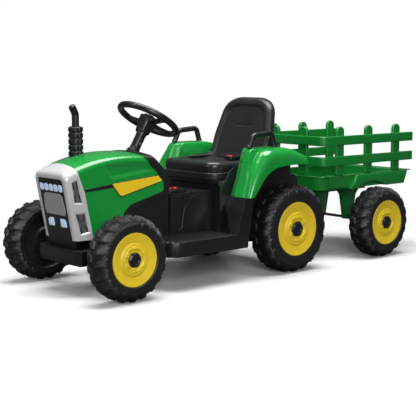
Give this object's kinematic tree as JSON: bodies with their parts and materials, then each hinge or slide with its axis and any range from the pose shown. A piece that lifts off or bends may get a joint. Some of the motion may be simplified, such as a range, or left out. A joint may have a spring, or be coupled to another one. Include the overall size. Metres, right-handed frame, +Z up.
{
  "type": "ride-on tractor with trailer",
  "caption": "Child's battery ride-on farm tractor with a foot pedal, steered front wheels, bucket seat and a fenced tow trailer that swings on a hitch pin.",
  "frame": {"origin": "on the floor, under the middle of the whole length and width", "axes": "+X forwards (tractor's nose), +Y to the driver's left, +Z up"},
  "size_m": [1.3615, 0.4936, 0.518],
  "materials": {
    "tyre_plastic": "hard moulded plastic, matt with fine ribs",
    "yellow_plastic": "glossy",
    "black_plastic": "fine grain, satin",
    "green_hood": "glossy coloured plastic",
    "green_trailer": "semi gloss",
    "silver_plastic": "silver, satin",
    "grey_plastic": "satin",
    "seat_plastic": "leather-like grain, satin",
    "lamp": "clear lens over bluish white lamps",
    "steel": "zinc plated",
    "dark_steel": "black paint",
    "webbing": "woven",
    "red_plastic": "glossy",
    "battery_case": "satin"
  },
  "bodies": {
    "tractor": {"armrests": "black_plastic", "battery": "battery_case", "body_shell": "black_plastic", "column_collar": "black_plastic", "control_panel": "black_plastic", "dash_cowl": "black_plastic", "exhaust_stack": "black_plastic", "fender_left": "green_hood", "fender_right": "green_hood", "front_bumper": "black_plastic", "front_subframe": "dark_steel", "gear_motors": "grey_plastic", "grille_panel": "black_plastic", "grille_surround": "silver_plastic", "hitch_pin": "steel", "hood_shell": "green_hood", "light_bar": "lamp", "lower_lamps": "lamp", "radiator_plate": "grey_plastic", "rear_axle": "steel", "seat_back": "seat_plastic", "seat_belt": "webbing", "seat_cushion": "seat_plastic", "side_badges": "yellow_plastic", "side_screens": "black_plastic", "underbody_pan": "black_plastic"},
    "steering": {"steering_wheel": "black_plastic", "steering_shaft": "steel", "steering_bolt": "steel"},
    "horn": {"horn_button": "black_plastic"},
    "left_knuckle": {"knuckle_left": "dark_steel"},
    "right_knuckle": {"knuckle_right": "dark_steel"},
    "tie_rod": {"tie_rod": "steel"},
    "front_left_wheel": {"tyre_front_left": "tyre_plastic", "disc_front_left": "yellow_plastic", "cap_front_left": "black_plastic"},
    "front_right_wheel": {"tyre_front_right": "tyre_plastic", "disc_front_right": "yellow_plastic", "cap_front_right": "black_plastic"},
    "rear_left_wheel": {"tyre_rear_left": "tyre_plastic", "disc_rear_left": "yellow_plastic", "cap_rear_left": "black_plastic"},
    "rear_right_wheel": {"tyre_rear_right": "tyre_plastic", "disc_rear_right": "yellow_plastic", "cap_rear_right": "black_plastic"},
    "trailer_left_wheel": {"tyre_trailer_left": "tyre_plastic", "disc_trailer_left": "yellow_plastic", "cap_trailer_left": "black_plastic"},
    "trailer_right_wheel": {"tyre_trailer_right": "tyre_plastic", "disc_trailer_right": "yellow_plastic", "cap_trailer_right": "black_plastic"},
    "trailer": {"trailer_tub": "green_trailer", "fence_rails": "green_trailer", "fence_posts": "green_trailer", "axle_bracket": "green_trailer", "drawbar": "green_trailer", "trailer_axle": "steel"},
    "pedal": {"pedal": "black_plastic"},
    "power_button": {"power_button": "red_plastic"},
    "direction_rocker": {"direction_rocker": "red_plastic"}
  },
  "joints": [
    {"name": "steering", "type": "hinge", "parent": "tractor", "child": "steering", "pos_m": [0.33125, 0, 0.462], "axis": [-0.5195, 0, 0.8545], "range_deg": [-30, 30]},
    {"name": "horn_press", "type": "slide", "parent": "steering", "child": "horn", "axis": [0.5195, 0, -0.8545], "range_m": [0, 0.0025], "stiffness_N_per_m": 600, "springref_m": -0.002},
    {"name": "left_kingpin", "type": "hinge", "parent": "tractor", "child": "left_knuckle", "pos_m": [0.56625, 0.15, 0.1145], "axis": [0, 0, 1], "range_deg": [-18, 18]},
    {"name": "right_kingpin", "type": "hinge", "parent": "tractor", "child": "right_knuckle", "pos_m": [0.56625, -0.15, 0.1145], "axis": [0, 0, 1], "range_deg": [-18, 18]},
    {"name": "tie_rod_pin", "type": "hinge", "parent": "left_knuckle", "child": "tie_rod", "pos_m": [0.52125, 0.15, 0.1165], "axis": [0, 0, 1], "range_deg": [-18, 18]},
    {"name": "front_left_spin", "type": "hinge", "parent": "left_knuckle", "child": "front_left_wheel", "pos_m": [0.56625, 0.208, 0.1145], "axis": [0, 1, 0], "continuous": true},
    {"name": "front_right_spin", "type": "hinge", "parent": "right_knuckle", "child": "front_right_wheel", "pos_m": [0.56625, -0.208, 0.1145], "axis": [0, 1, 0], "continuous": true},
    {"name": "rear_left_drive", "type": "hinge", "parent": "tractor", "child": "rear_left_wheel", "pos_m": [-0.05375, 0.186, 0.132], "axis": [0, 1, 0], "continuous": true},
    {"name": "rear_right_drive", "type": "hinge", "parent": "tractor", "child": "rear_right_wheel", "pos_m": [-0.05375, -0.186, 0.132], "axis": [0, 1, 0], "continuous": true},
    {"name": "trailer_hitch", "type": "hinge", "parent": "tractor", "child": "trailer", "pos_m": [-0.17875, 0, 0.239], "axis": [0, 0, 1], "range_deg": [-35, 35]},
    {"name": "trailer_left_spin", "type": "hinge", "parent": "trailer", "child": "trailer_left_wheel", "pos_m": [-0.46475, 0.1935, 0.113], "axis": [0, 1, 0], "continuous": true},
    {"name": "trailer_right_spin", "type": "hinge", "parent": "trailer", "child": "trailer_right_wheel", "pos_m": [-0.46475, -0.1935, 0.113], "axis": [0, 1, 0], "continuous": true},
    {"name": "pedal_press", "type": "hinge", "parent": "tractor", "child": "pedal", "pos_m": [0.33825, -0.15, 0.146], "axis": [0, 1, 0], "range_deg": [0, 8], "stiffness_Nm_per_rad": 1.2, "springref_deg": -17.19},
    {"name": "power_press", "type": "slide", "parent": "tractor", "child": "power_button", "axis": [0, 0, -1], "range_m": [0, 0.002], "stiffness_N_per_m": 500, "springref_m": -0.002},
    {"name": "direction_tilt", "type": "hinge", "parent": "tractor", "child": "direction_rocker", "pos_m": [0.30625, 0.054, 0.2613], "axis": [0, 1, 0], "range_deg": [-8, 8]}
  ],
  "couplings": [
    {"joint": "left_kingpin", "follows": "steering", "ratio": 0.6},
    {"joint": "right_kingpin", "follows": "steering", "ratio": 0.6},
    {"joint": "tie_rod_pin", "follows": "steering", "ratio": -0.6}
  ]
}
